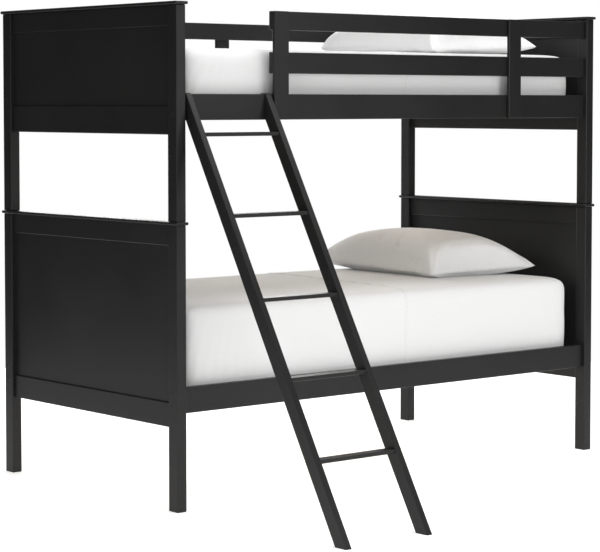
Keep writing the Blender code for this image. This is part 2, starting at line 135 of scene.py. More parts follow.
def mixed(tree, amount, first, second):
    """A colour between two, by a mask."""
    node = tree.nodes.new("ShaderNodeMix")
    node.data_type = "RGBA"
    tree.links.new(amount, node.inputs["Factor"])
    for socket, colour in ((node.inputs[6], first), (node.inputs[7], second)):
        if isinstance(colour, bpy.types.NodeSocket):
            tree.links.new(colour, socket)
        else:
            socket.default_value = (*colour, 1.0)
    return node.outputs[2]


def ranged(tree, value, low, high, to_low=0.0, to_high=1.0):
    inputs = {"Value": value, "From Min": low, "From Max": high, "To Min": to_low, "To Max": to_high}
    return add(tree, "MapRange", inputs).outputs[0]


print("node helpers are ready")

# %% [markdown]
# ## Effects that several finishes share
#
# Four effects turn up in more than one finish, so each is a node group, built once.
# *Wood grain* is noise drawn out along the board. Under paint it only shows as a faint relief.
# *Edge wear and highlight* finds where a surface turns: a bevelled normal differs from the true one only
# near an edge.
# *Handling* is large, soft cloudiness, which makes one face a little shinier here and duller there.
# *Plain weave* is two sets of threads that cross, and *soft creases* are the folds that bedding keeps.

# %% Wood grain
grain, g_in, g_out = new_group(
    "wood_grain", {"Vector": None, "Stretch": 14.0, "Scale": 26.0}, ["Height", "Tone", "Pores"]
)
drawn_out = add(
    grain, "CombineXYZ", {"X": math(grain, "DIVIDE", 1.0, g_in["Stretch"]), "Y": 1.0, "Z": 1.0}
)
along = add(
    grain, "VectorMath", {0: g_in["Vector"], 1: drawn_out.outputs[0]}, operation="MULTIPLY"
)
rings = add(
    grain, "TexNoise",
    {
        "Vector": along.outputs[0],
        "Scale": g_in["Scale"],
        "Detail": 5.0,
        "Roughness": 0.62,
        "Distortion": 0.9,
    },
)
pore_scale = math(grain, "MULTIPLY", g_in["Scale"], 14.0)
pores = add(grain, "TexNoise", {"Vector": along.outputs[0], "Scale": pore_scale, "Detail": 2.0})
pore_mask = ranged(grain, pores.outputs[0], 0.60, 0.72)
grain.links.new(rings.outputs[0], g_out["Tone"])
grain.links.new(pore_mask, g_out["Pores"])
grain.links.new(math(grain, "SUBTRACT", rings.outputs[0], pore_mask), g_out["Height"])

# %% Edge wear and painted highlight
wear_and_highlight, r_in, r_out = new_group("edge_wear_and_highlight", {"Vector": None, "Width": 0.002}, ["Mask"])
turned = add(wear_and_highlight, "Bevel", {"Radius": r_in["Width"]}, samples=6)
true_normal = add(wear_and_highlight, "NewGeometry")
facing = add(
    wear_and_highlight, "VectorMath", {0: turned.outputs[0], 1: true_normal.outputs["Normal"]}, operation="DOT_PRODUCT"
)
on_edge = ranged(wear_and_highlight, facing.outputs["Value"], 0.985, 0.90)
worn_here = add(wear_and_highlight, "TexNoise", {"Vector": r_in["Vector"], "Scale": 22.0, "Detail": 4.0})
patchy = ranged(wear_and_highlight, worn_here.outputs[0], 0.34, 0.62, 0.35, 1.0)
wear_and_highlight.links.new(math(wear_and_highlight, "MULTIPLY", on_edge, patchy), r_out["Mask"])

# %% Handling
handling, h_in, h_out = new_group("handling", {"Vector": None, "Scale": 3.0}, ["Cloud", "Specks"])
cloud = add(handling, "TexNoise", {"Vector": h_in["Vector"], "Scale": h_in["Scale"], "Detail": 6.0})
handling.links.new(ranged(handling, cloud.outputs[0], 0.30, 0.70), h_out["Cloud"])
fleck = add(handling, "TexNoise", {"Vector": h_in["Vector"], "Scale": 420.0, "Detail": 1.0})
handling.links.new(ranged(handling, fleck.outputs[0], 0.66, 0.74), h_out["Specks"])

# %% Plain weave
weave, w_in, w_out = new_group("plain_weave", {"Vector": None, "Thread": 0.0006}, ["Height", "Slub"])
lengths = add(weave, "SeparateXYZ", {0: w_in["Vector"]})
turns = math(weave, "DIVIDE", pi, w_in["Thread"])
threads = [
    math(weave, "SINE", math(weave, "MULTIPLY", lengths.outputs[axis], turns)) for axis in ("X", "Y")
]
over_under = math(weave, "MULTIPLY", *threads)
thick_thread = add(
    weave, "VectorMath", {0: w_in["Vector"], 1: (18.0, 900.0, 1.0)}, operation="MULTIPLY"
)
slub = add(weave, "TexNoise", {"Vector": thick_thread.outputs[0], "Scale": 1.0, "Detail": 1.0})
weave.links.new(math(weave, "MULTIPLY_ADD", over_under, 0.5), w_out["Height"])
weave.links.new(slub.outputs[0], w_out["Slub"])

# %% Soft creases
creases, c_in, c_out = new_group("soft_creases", {"Vector": None, "Scale": 9.0}, ["Height"])
folds = add(
    creases, "TexNoise",
    {"Vector": c_in["Vector"], "Scale": c_in["Scale"], "Detail": 3.0, "Roughness": 0.45, "Distortion": 1.4},
)
ridged = math(creases, "ABSOLUTE", math(creases, "SUBTRACT", folds.outputs[0], 0.5))
creases.links.new(math(creases, "SUBTRACT", 0.5, ridged), c_out["Height"])
print("shared effects:", [group.name for group in bpy.data.node_groups])

# %% [markdown]
# ## Satin black paint on wood
#
# The frame is sprayed with a satin black enamel. Up close it has the faint relief of the wood under it, a
# fine spray texture, soft cloudy differences in gloss, and edges where sleeves and hands have polished it,
# painted lighter as a painted highlight.
# Grain runs along a board, and the boards run four ways, so the same paint is made once for each way, with
# the pattern turned to lie along the board.

# %% Paint
PAINT_BLACK = (0.0092, 0.0092, 0.0094)
PAINT_WARM = (0.0135, 0.0133, 0.0130)
# The lighter grey on the edges is a painted highlight, where light would catch them.
PAINT_EDGE_HIGHLIGHT = (0.038, 0.037, 0.036)
ALONG = {
    "x": (0.0, 0.0, 0.0),
    "y": (0.0, 0.0, -pi / 2),
    "z": (0.0, pi / 2, 0.0),
    "ladder": (radians(30.0), pi / 2, 0.0),
}


def satin_paint(way):
    material, tree, shader = new_material("satin_black_paint_" + way)
    place = add(tree, "TexCoord").outputs["Object"]
    board = add(tree, "Mapping", {"Vector": place, "Rotation": ALONG[way]}).outputs[0]
    wood = use(tree, grain, {"Vector": board, "Stretch": 16.0, "Scale": 30.0})
    marks = use(tree, handling, {"Vector": place, "Scale": 2.6})
    edge = use(tree, wear_and_highlight, {"Vector": place, "Width": 0.0022})["Mask"]
    body = mixed(tree, marks["Cloud"], PAINT_BLACK, PAINT_WARM)
    # Edges get a lighter colour: a painted highlight. The polish on them is real and goes into the
    # roughness below.
    tree.links.new(mixed(tree, edge, body, PAINT_EDGE_HIGHLIGHT), shader.inputs["Base Color"])
    gloss = ranged(tree, marks["Cloud"], 0.0, 1.0, 0.40, 0.47)
    polished = math(tree, "MULTIPLY_ADD", edge, -0.10)
    tree.links.new(gloss, polished.node.inputs[2])
    tree.links.new(polished, shader.inputs["Roughness"])
    spray = add(tree, "TexNoise", {"Vector": place, "Scale": 700.0, "Detail": 2.0}).outputs[0]
    relief = add(
        tree, "Bump", {"Height": wood["Height"], "Strength": 0.22, "Distance": 0.0006}
    ).outputs[0]
    peel = add(tree, "Bump", {"Height": spray, "Normal": relief, "Strength": 0.10, "Distance": 0.0004})
    tree.links.new(peel.outputs[0], shader.inputs["Normal"])
    shader.inputs["Specular IOR Level"].default_value = 0.30
    return material


paints = {way: satin_paint(way) for way in ALONG}
print("paints:", sorted(paints))

# %% [markdown]
# ## Bare pine, steel and webbing
#
# Nobody sees the slats, so they are left bare: pale pine with strong growth lines, and two woven tapes
# stapled across them. The tapes are part of the slat roll, so a mask picks them out by where they lie.
# The dowel pins and barrel nuts are zinc plated, which is never quite even. The bolts and the ladder hooks
# are steel, painted black, the hooks with the ladder.

# %% Pine slats with tapes
TAPE_HALF = 0.015
TAPE_DEEP = 0.0042
TAPE_FROM_END = 0.210


def pine_slats(name, slat_node):
    low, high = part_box(slat_node)
    width = high.y - low.y
    material, tree, shader = new_material(name)
    place = add(tree, "TexCoord").outputs["Object"]
    board = add(tree, "Mapping", {"Vector": place, "Rotation": ALONG["y"]}).outputs[0]
    wood = use(tree, grain, {"Vector": board, "Stretch": 9.0, "Scale": 34.0})
    timber = mixed(tree, wood["Tone"], (0.50, 0.33, 0.17), (0.80, 0.63, 0.40))
    at = add(tree, "SeparateXYZ", {0: place}).outputs
    off_middle = math(tree, "ABSOLUTE", math(tree, "SUBTRACT", at["Y"], low.y + width / 2))
    off_tape = math(tree, "ABSOLUTE", math(tree, "SUBTRACT", off_middle, width / 2 - TAPE_FROM_END))
    beside = math(tree, "LESS_THAN", off_tape, TAPE_HALF)
    on_top = math(tree, "GREATER_THAN", at["Z"], high.z - TAPE_DEEP)
    tape = math(tree, "MULTIPLY", beside, on_top)
    cotton = use(tree, weave, {"Vector": place, "Thread": 0.0012})
    tree.links.new(mixed(tree, tape, timber, (0.62, 0.60, 0.55)), shader.inputs["Base Color"])
    tree.links.new(ranged(tree, tape, 0.0, 1.0, 0.58, 0.92), shader.inputs["Roughness"])
    grain_bump = add(tree, "Bump", {"Height": wood["Height"], "Strength": 0.35, "Distance": 0.0006})
    both = add(
        tree, "Bump",
        {
            "Height": math(tree, "MULTIPLY", cotton["Height"], tape),
            "Normal": grain_bump.outputs[0],
            "Strength": 0.6,
            "Distance": 0.0005,
        },
    )
    tree.links.new(both.outputs[0], shader.inputs["Normal"])
    return material


# %% Steel
def steel(name, light, dark, metallic, rough, scratch):
    material, tree, shader = new_material(name)
    place = add(tree, "TexCoord").outputs["Object"]
    marks = use(tree, handling, {"Vector": place, "Scale": 38.0})
    edge = use(tree, wear_and_highlight, {"Vector": place, "Width": 0.0008})["Mask"]
    tree.links.new(mixed(tree, marks["Cloud"], dark, light), shader.inputs["Base Color"])
    shader.inputs["Metallic"].default_value = metallic
    dull = ranged(tree, marks["Cloud"], 0.0, 1.0, rough, rough + 0.14)
    shine = math(tree, "MULTIPLY_ADD", edge, -0.10)
    tree.links.new(dull, shine.node.inputs[2])
    tree.links.new(shine, shader.inputs["Roughness"])
    lines = add(
        tree, "Mapping", {"Vector": place, "Scale": (60.0, 1400.0, 1400.0)}
    ).outputs[0]
    brushed = add(tree, "TexNoise", {"Vector": lines, "Scale": 1.0, "Detail": 2.0}).outputs[0]
    bump = add(tree, "Bump", {"Height": brushed, "Strength": scratch, "Distance": 0.0002})
    tree.links.new(bump.outputs[0], shader.inputs["Normal"])
    return material


zinc = steel("zinc_plated_steel", (0.62, 0.63, 0.64), (0.46, 0.47, 0.50), 1.0, 0.26, 0.25)
black_steel = steel("black_painted_steel", (0.020, 0.020, 0.021), (0.012, 0.012, 0.012), 0.0, 0.36, 0.12)
print("steels:", zinc.name, black_steel.name)

# %% Dress the joinery


def finish_of(name):
    """The finish of one CAD piece, by its name."""
    if "slat_roll" in name:
        return pine_slats("pine_" + name.split("_")[0], name)
    if name.startswith("dowel_pin"):
        return zinc
    if "hook" in name:
        return black_steel
    if "stringer" in name:
        return paints["ladder"]
    if "post" in name or "upright" in name or "panel" in name:
        return paints["z"]
    if any(word in name for word in ("cap", "top_rail", "bottom_rail")):
        return paints["y"]
    return paints["x"]


soft_nodes = [name for name in nodes if name.startswith(("mattress", "pillow"))]
for name, node in nodes.items():
    if name not in soft_nodes:
        node.data.materials.clear()
        node.data.materials.append(finish_of(name))
print(len(nodes) - len(soft_nodes), "pieces painted, oiled or plated")

# %% [markdown]
# ## Cotton
#
# The sheets and pillowcases are white cotton percale. A woven thread is half a millimetre wide, far finer
# than any mesh, so the weave is a bump. It follows a UV map laid out in metres: each face of the cloth is
# mapped from the side it faces, which keeps the threads straight and the same size everywhere.

# %% Cloth finishes
CLOTH_MAP = "cloth"


def lay_out_cloth(piece):
    """A UV map in metres: each face is seen from the side it mostly faces."""
    mesh = piece.data
    spots = np.empty((len(mesh.vertices), 3), np.float32)
    mesh.vertices.foreach_get("co", spots.ravel())
    normals = np.empty((len(mesh.polygons), 3), np.float32)
    mesh.polygons.foreach_get("normal", normals.ravel())
    corners = np.empty(len(mesh.polygons), np.int32)
    mesh.polygons.foreach_get("loop_total", corners)
    corner_vertex = np.empty(len(mesh.loops), np.int32)
    mesh.loops.foreach_get("vertex_index", corner_vertex)
    facing = np.repeat(np.abs(normals).argmax(axis=1), corners)
    across = np.where(facing == 0, 1, 0)
    along = np.where(facing == 2, 1, 2)
    corner_spots = spots[corner_vertex]
    rows = np.arange(len(corner_vertex))
    laid = np.stack([corner_spots[rows, across], corner_spots[rows, along]], axis=1)
    mesh.uv_layers.new(name=CLOTH_MAP).data.foreach_set("uv", laid.astype(np.float32).ravel())


def cotton(name, light, shade, thread, crease_scale, crease_height):
    material, tree, shader = new_material(name)
    metres = add(tree, "UVMap", uv_map=CLOTH_MAP).outputs[0]
    place = add(tree, "TexCoord").outputs["Object"]
    cloth = use(tree, weave, {"Vector": metres, "Thread": thread})
    marks = use(tree, handling, {"Vector": place, "Scale": 5.0})
    soft = use(tree, creases, {"Vector": place, "Scale": crease_scale})["Height"]
    even = mixed(tree, ranged(tree, cloth["Slub"], 0.35, 0.65), light, shade)
    washed = ranged(tree, marks["Cloud"], 0.0, 1.0, 0.0, 0.5)
    tree.links.new(mixed(tree, washed, even, light), shader.inputs["Base Color"])
    tree.links.new(ranged(tree, cloth["Slub"], 0.3, 0.7, 0.84, 0.94), shader.inputs["Roughness"])
    shader.inputs["Specular IOR Level"].default_value = 0.25
    shader.inputs["Sheen Weight"].default_value = 0.10
    shader.inputs["Sheen Roughness"].default_value = 0.5
    folded = add(tree, "Bump", {"Height": soft, "Strength": 0.5, "Distance": crease_height}).outputs[0]
    bump = add(
        tree, "Bump", {"Height": cloth["Height"], "Normal": folded, "Strength": 0.35, "Distance": 0.0002}
    )
    tree.links.new(bump.outputs[0], shader.inputs["Normal"])
    return material


sheet_cotton = cotton("white_percale", (0.79, 0.79, 0.787), (0.765, 0.765, 0.762), 0.0005, 3.0, 0.004)
case_cotton = cotton(
    "white_pillowcase_percale", (0.88, 0.88, 0.878), (0.855, 0.855, 0.853), 0.0005, 9.0, 0.006
)
ticking = cotton("mattress_ticking", (0.74, 0.73, 0.70), (0.66, 0.65, 0.62), 0.0011, 14.0, 0.010)
elastic = cotton("hem_elastic", (0.82, 0.82, 0.81), (0.76, 0.76, 0.75), 0.0012, 60.0, 0.004)
print("cottons:", sheet_cotton.name, case_cotton.name, ticking.name, elastic.name)

# %% [markdown]
# ## Tools of the upholsterer
#
# A padded piece starts as a plain rounded block a little smaller than the space it fills. Remeshing gives
# it an even skin of small faces, and a cloth simulation then blows it up like a cushion: the faces crown,
# and the sides pull in between the corners. The rise is held to a few millimetres, so it still fits.

# %% Soft helpers


def start_new():
    """Nothing selected, in object mode, before a new piece is begun."""
    if bpy.context.object and bpy.context.object.mode != "OBJECT":
        bpy.ops.object.mode_set(mode="OBJECT")
    bpy.ops.object.select_all(action="DESELECT")


def take(piece):
    start_new()
    piece.select_set(True)
    bpy.context.view_layer.objects.active = piece


def settle(piece):
    """The object goes to the origin, unturned and unscaled, and its place into its mesh."""
    take(piece)
    bpy.ops.object.transform_apply(location=True, rotation=True, scale=True)


def modify(piece, kind, **options):
    """Adds a modifier, sets it and applies it at once."""
    take(piece)
    modifier = piece.modifiers.new(kind.lower(), kind)
    for key, value in options.items():
        setattr(modifier, key, value)
    bpy.ops.object.modifier_apply(modifier=modifier.name)


def copy_of(piece, name):
    """A copy with its own mesh."""
    twin = piece.copy()
    twin.data = piece.data.copy()
    twin.name = twin.data.name = name
    bpy.context.scene.collection.objects.link(twin)
    return twin


def rounded_block(name, low, high, rounding, corner):
    """A box whose upright edges are rounded by corner, and whose outline edges by rounding."""
    start_new()
    bpy.ops.mesh.primitive_cube_add(size=1.0, location=(low + high) / 2)
    block = bpy.context.object
    block.name = block.data.name = name
    block.scale = high - low
    settle(block)
    take(block)
    bpy.ops.object.mode_set(mode="EDIT")
    bpy.ops.mesh.select_mode(type="EDGE")
    bpy.ops.mesh.select_all(action="DESELECT")
    bpy.ops.object.mode_set(mode="OBJECT")
    for edge in block.data.edges:
        ends = [block.data.vertices[index].co for index in edge.vertices]
        edge.select = abs(ends[0].z - ends[1].z) > 0.5 * (high.z - low.z)
    bpy.ops.object.mode_set(mode="EDIT")
    bpy.ops.mesh.bevel(offset=corner, segments=5, affect="EDGES")
    bpy.ops.mesh.select_all(action="DESELECT")
    bpy.ops.object.mode_set(mode="OBJECT")
    for edge in block.data.edges:
        ends = [block.data.vertices[index].co for index in edge.vertices]
        edge.select = abs(ends[0].z - ends[1].z) < 1e-5
    bpy.ops.object.mode_set(mode="EDIT")
    bpy.ops.mesh.bevel(offset=rounding, segments=5, affect="EDGES")
    bpy.ops.object.mode_set(mode="OBJECT")
    return block


def plump(piece, voxel, pressure, most):
    """Blows a closed piece up as cloth, and keeps each point within most metres of where it was."""
    modify(piece, "REMESH", mode="VOXEL", voxel_size=voxel, use_smooth_shade=True)
    modify(piece, "SMOOTH", factor=0.5, iterations=4)
    before = [vertex.co.copy() for vertex in piece.data.vertices]
    take(piece)
    cloth = piece.modifiers.new("cloth", "CLOTH")
    cloth.settings.quality = 5
    cloth.settings.use_pressure = True
    cloth.settings.uniform_pressure_force = pressure
    cloth.settings.effector_weights.gravity = 0.0
    cloth.settings.tension_stiffness = 18.0
    cloth.settings.bending_stiffness = 0.6
    cloth.point_cache.frame_start, cloth.point_cache.frame_end = 1, 20
    for step in range(1, 21):
        bpy.context.scene.frame_set(step)
    bpy.ops.object.modifier_apply(modifier=cloth.name)
    bpy.context.scene.frame_set(1)
    for vertex, old in zip(piece.data.vertices, before):
        moved = vertex.co - old
        if moved.length > most:
            vertex.co = old + moved * (most / moved.length)
    modify(piece, "SMOOTH", factor=0.5, iterations=2)


print("soft helpers are ready")

# %% [markdown]
# ## The mattresses
#
# Under each sheet is a spring mattress: a box with a crowned top and a ticking cover. Only its underside
# shows, between the slats, but its firm, tightly rounded edge is what gives the sheet above it a shape.

# %% Mattress cores
SWELL = 0.004
EDGE_ROUND = 0.034
CORNER_ROUND = 0.028
MATTRESS_VOXEL = 0.019
MATTRESS_PRESSURE = 4.0
UNDERSIDE_LIFT = 0.0015  # keeps the ticking just above the slats


def mattress_core(level):
    low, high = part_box("mattress_" + level)
    inset = Vector((SWELL, SWELL, 0.002))
    core = rounded_block("mattress_core_" + level, low + inset, high - inset, EDGE_ROUND, CORNER_ROUND)
    plump(core, MATTRESS_VOXEL, MATTRESS_PRESSURE, SWELL)
    for vertex in core.data.vertices:
        vertex.co.z = max(vertex.co.z, low.z + UNDERSIDE_LIFT)
    core.data.materials.append(ticking)
    return core, low, high


cores = {level: mattress_core(level) for level in ("lower", "upper")}
for level, (core, low, high) in cores.items():
    print(core.name, len(core.data.polygons), "faces", [round(side, 3) for side in high - low])

# %% [markdown]
# ## The fitted sheets
#
# A fitted sheet is one flat piece of cotton with a square cut out of each corner, and elastic gathers its
# hem under the mattress. Here the sheet is taken from the mattress's own skin, a little outside it, with
# the middle of the underside cut away. Then the join across the sheet and the pulled creases by the
# corners are pressed in, a bead of elastic is laid along the open edge, and the cloth gets its thickness.

# %% Sheets
CLOTH_OFF = 0.0022
TURN_UNDER = 0.085
CLOTH_THICK = 0.0009
JOIN_PLACE = 1.010  # from the mattress's left end to the join, along its front edge
JOIN_SLANT = 0.10
SEAM_DEPTH = 0.0021
SEAM_HALF_WIDTH = 0.0045
SEAM_STEP = 0.0020  # the overlapping side stands this much higher
ELASTIC_RADIUS = 0.0018


def cut_line(piece, point, normal):
    """Adds an edge loop where a plane crosses the piece."""
    take(piece)
    bpy.ops.object.mode_set(mode="EDIT")
    bpy.ops.mesh.select_all(action="SELECT")
    bpy.ops.mesh.bisect(plane_co=point, plane_no=normal)
    bpy.ops.object.mode_set(mode="OBJECT")


def delete_faces(piece, unwanted):
    """Deletes the faces that a test on their middles and normals picks out."""
    faces = piece.data.polygons
    middles = np.empty((len(faces), 3), np.float32)
    faces.foreach_get("center", middles.ravel())
    normals = np.empty((len(faces), 3), np.float32)
    faces.foreach_get("normal", normals.ravel())
    take(piece)
    bpy.ops.object.mode_set(mode="EDIT")
    bpy.ops.mesh.select_mode(type="FACE")
    bpy.ops.mesh.select_all(action="DESELECT")
    bpy.ops.object.mode_set(mode="OBJECT")
    faces.foreach_set("select", unwanted(middles, normals))
    bpy.ops.object.mode_set(mode="EDIT")
    bpy.ops.mesh.delete(type="FACE")
    bpy.ops.object.mode_set(mode="OBJECT")


def sheet_rise(spot, low, high):
    """How far the cloth stands off the mattress at a point: pulled folds near the corners, and slack."""
    from_x = min(spot.x - low.x, high.x - spot.x)
    from_y = min(spot.y - low.y, high.y - spot.y)
    near_corner = exp(-hypot(from_x, from_y) / 0.16)
    down = (high.z - spot.z) / (high.z - low.z)
    along = from_x if from_y < from_x else from_y
    fold = sin(along * 150.0 + 9.0 * down + 4.0 * noise.noise(spot * 5.0))
    slack = noise.noise(Vector((spot.x * 3.1, spot.y * 3.7, spot.z * 2.0)))
    return 0.0018 * near_corner * down * fold + 0.0010 * slack


def elastic_hem(cloth, level):
    """The bead of elastic in the hem, along the open edge of a sheet that has no thickness yet."""
    hem = copy_of(cloth, "hem_elastic_" + level)
    take(hem)
    bpy.ops.object.mode_set(mode="EDIT")
    bpy.ops.mesh.select_mode(type="EDGE")
    bpy.ops.mesh.select_all(action="DESELECT")
    bpy.ops.mesh.select_non_manifold()
    bpy.ops.mesh.select_all(action="INVERT")
    bpy.ops.mesh.delete(type="EDGE")
    bpy.ops.object.mode_set(mode="OBJECT")
    take(hem)
    bpy.ops.object.convert(target="CURVE")
    hem = bpy.context.object
    hem.data.bevel_depth = ELASTIC_RADIUS
    hem.data.bevel_resolution = 2
    bpy.ops.object.convert(target="MESH")
    hem = bpy.context.object
    hem.data.transform(Matrix.Translation((0.0, 0.0, ELASTIC_RADIUS)))
    hem.data.shade_smooth()
    lay_out_cloth(hem)
    hem.data.materials.clear()
    hem.data.materials.append(elastic)
    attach(hem, "mattress_" + level)
    return hem


def fitted_sheet(level, core, low, high):
    cloth = copy_of(core, "fitted_sheet_" + level)
    cloth.data.materials.clear()
    inner_low = np.array(low.xy) + TURN_UNDER
    inner_high = np.array(high.xy) - TURN_UNDER

    def under(middles, normals):
        inside = (middles[:, :2] > inner_low) & (middles[:, :2] < inner_high)
        return inside.all(axis=1) & (normals[:, 2] < -0.6)

    delete_faces(cloth, under)
    modify(cloth, "SUBSURF", levels=1, render_levels=1)
    join = Vector((low.x + JOIN_PLACE, low.y, high.z))
    across = Vector((1.0, -JOIN_SLANT, 0.0)).normalized()
    for step in (-SEAM_HALF_WIDTH, 0.0, SEAM_HALF_WIDTH):
        cut_line(cloth, join + across * step, across)
    normals = [vertex.normal.copy() for vertex in cloth.data.vertices]
    for vertex, normal in zip(cloth.data.vertices, normals):
        spot = vertex.co.copy()
        rise = CLOTH_OFF + sheet_rise(spot, low, high)
        past_join = (spot - join).dot(across)
        rise -= SEAM_DEPTH * max(0.0, 1.0 - abs(past_join) / SEAM_HALF_WIDTH)
        if past_join > 0.004:
            rise += SEAM_STEP * exp(-past_join / 0.05)
        vertex.co = spot + normal * rise
        vertex.co.z = max(vertex.co.z, low.z)
    hem = elastic_hem(cloth, level)
    modify(cloth, "SOLIDIFY", thickness=CLOTH_THICK, offset=-1.0)
    cloth.data.shade_smooth()
    lay_out_cloth(cloth)
    cloth.data.materials.append(sheet_cotton)
    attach(cloth, "mattress_" + level)
    return cloth


sheets = {}
for level, (core, low, high) in cores.items():
    core.data.shade_smooth()
    lay_out_cloth(core)
    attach(core, "mattress_" + level)
    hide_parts("mattress_" + level)
    sheets[level] = fitted_sheet(level, core, low, high)

# %% [markdown]
# ## The pillows
#
# A pillow thrown on a bed is not a symmetrical lens. The side towards the room has been tucked under, so it
# stands up like a wall; the side against the headboard runs out into two flat ears. The block below starts
# as a cube of small squares. Its corners are pulled to where the four ears of the case lie, its top is
# raised in a dome that is steep on the tucked sides, and the cloth simulation then fills it out.

# %% Pillow shape
PILLOW_VOXEL = 0.007
PILLOW_CUTS = 27
SEAM_HALF = 0.005
EARS = {  # (across, along) sides of the case: where its ear lies from the middle, and how high, in metres
    (-1, -1): (-0.247, -0.312, 0.016),
    (1, -1): (0.243, -0.408, 0.036),
    (-1, 1): (-0.224, 0.397, 0.036),
    (1, 1): (0.246, 0.328, 0.046),
}
SIDE_PULL = 0.012


def between_ears(a, b):
    """The seam's place at a share across and along the case, from its four ears."""
    spot = Vector((0.0, 0.0, 0.0))
    for (side_a, side_b), ear in EARS.items():
        spot += Vector(ear) * ((1 + side_a * a) * (1 + side_b * b) / 4)
    spot.x -= a * SIDE_PULL * (1 - b * b)
    spot.y -= b * SIDE_PULL * (1 - a * a)
    return spot


def wall(share, steep, soft):
    """1 in the middle and 0 at the edge, with a steeper shoulder as steep grows."""
    return max(0.0, 1.0 - abs(share) ** steep) ** soft


def dome(a, b):
    tucked = wall(a, 7.0, 0.42) if a < 0 else wall(a, 1.75, 0.85)
    end = wall(b, 7.0, 0.42) if b < 0 else wall(b, 3.5, 0.6)
    return tucked * end * (1.0 - 0.14 * a * a - 0.10 * b * b)


def pillow_block(name, low, high):
    start_new()
    bpy.ops.mesh.primitive_cube_add(size=2.0)
    block = bpy.context.object
    block.name = block.data.name = name
    bpy.ops.object.mode_set(mode="EDIT")
    bpy.ops.mesh.select_all(action="SELECT")
    bpy.ops.mesh.subdivide(number_cuts=PILLOW_CUTS)
    bpy.ops.object.mode_set(mode="OBJECT")
    middle = Vector(((low.x + high.x) / 2, (low.y + high.y) / 2, low.z))
    tall = high.z - low.z
    for vertex in block.data.vertices:
        a, b, c = vertex.co
        spot = between_ears(a, b)
        seam = spot.z
        if c > 0.999:
            spot.z = seam + SEAM_HALF + (tall - seam - SEAM_HALF) * dome(a, b)
        elif c < -0.999:
            spot.z = max(0.0, (seam - SEAM_HALF) * (1.0 - wall(a, 2.5, 1.0) * wall(b, 2.5, 1.0) * 1.6))
        else:
            spot.z = seam + c * SEAM_HALF
        vertex.co = middle + spot
    return block


def ear_folds(spot, middle):
    """Small folds that fan out from each ear of the case."""
    rise = 0.0
    for ear in EARS.values():
        away = Vector((spot.x - middle.x - ear[0], spot.y - middle.y - ear[1]))
        turn = away.angle_signed(Vector((-ear[0], -ear[1]))) if away.length > 1e-4 else 0.0
        fade = exp(-away.length / 0.085) * min(1.0, away.length / 0.03)
        rise += 0.0042 * fade * cos(turn * 9.0 + 7.0 * ear[0])
    return rise


HEM_PLACE = 0.085
HEM_GROOVE = 0.0014
HEM_HALF_WIDTH = 0.003
HEM_SLANT = 0.06
PILLOW_PRESSURE = 3.0
PILLOW_SWELL = 0.009


def pillow_in_case(level):
    low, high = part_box("pillow_" + level)
    piece = pillow_block("pillow_in_case_" + level, low, high)
    plump(piece, PILLOW_VOXEL, PILLOW_PRESSURE, PILLOW_SWELL)
    middle = Vector(((low.x + high.x) / 2, (low.y + high.y) / 2, low.z))
    hem_y = high.y - HEM_PLACE + 0.03
    for step in (-HEM_HALF_WIDTH, 0.0, HEM_HALF_WIDTH):
        cut_line(piece, (0.0, hem_y + step, 0.0), (HEM_SLANT, 1.0, 0.0))
    normals = [vertex.normal.copy() for vertex in piece.data.vertices]
    for vertex, normal in zip(piece.data.vertices, normals):
        spot = vertex.co.copy()
        rise = ear_folds(spot, middle) + 0.0022 * noise.noise(spot * 9.0)
        off_hem = abs(spot.y - hem_y + HEM_SLANT * spot.x)
        rise -= HEM_GROOVE * max(0.0, 1.0 - off_hem / HEM_HALF_WIDTH)
        vertex.co = spot + normal * rise
        vertex.co.z = max(vertex.co.z, low.z + 0.0005)
    modify(piece, "SUBSURF", levels=1, render_levels=1)
    piece.data.shade_smooth()
    return piece, low


# %% Pillows
lower_pillow, lower_base = pillow_in_case("lower")
upper_pillow = copy_of(lower_pillow, "pillow_in_case_upper")
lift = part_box("pillow_upper")[0].z - lower_base.z
upper_pillow.data.transform(Matrix.Translation((0.0, 0.0, lift)))
for level, piece in (("lower", lower_pillow), ("upper", upper_pillow)):
    lay_out_cloth(piece)
    piece.data.materials.append(case_cotton)
    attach(piece, "pillow_" + level)
    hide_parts("pillow_" + level)
    print(piece.name, len(piece.data.polygons), "faces")

# %% [markdown]
# ## Bolts and barrel nuts
#
# Each end of a side rail is pulled to its post by two bolts. A bolt goes through the post from outside,
# into the end of the rail, and screws into a barrel nut: a short rod that lies across it in a hole in the
# rail's inner face. The head sits in a counterbore and has a hexagonal socket; the nut has a slot, so that
# it can be turned until its thread faces the bolt. One bolt and one nut are modelled, then copied.

# %% One bolt
BOLT_HEAD = (0.0066, 0.0040)  # radius and thickness
BOLT_SHANK = (0.0033, 0.089)  # radius and length under the head
BOLT_FACETS = 32
SOCKET = (0.0031, 0.0026)  # radius to its corners, and depth


def faces_facing(piece, way):
    """Selects only the faces that look along way, and leaves the piece in edit mode."""
    take(piece)
    bpy.ops.object.mode_set(mode="EDIT")
    bpy.ops.mesh.select_mode(type="FACE")
    bpy.ops.mesh.select_all(action="DESELECT")
    bpy.ops.object.mode_set(mode="OBJECT")
    for face in piece.data.polygons:
        face.select = face.normal.dot(Vector(way)) > 0.99
    bpy.ops.object.mode_set(mode="EDIT")


def carve(piece, cutter):
    """Cuts one piece out of another and removes the cutter."""
    modify(piece, "BOOLEAN", operation="DIFFERENCE", solver="EXACT", object=cutter)
    bpy.data.objects.remove(cutter, do_unlink=True)


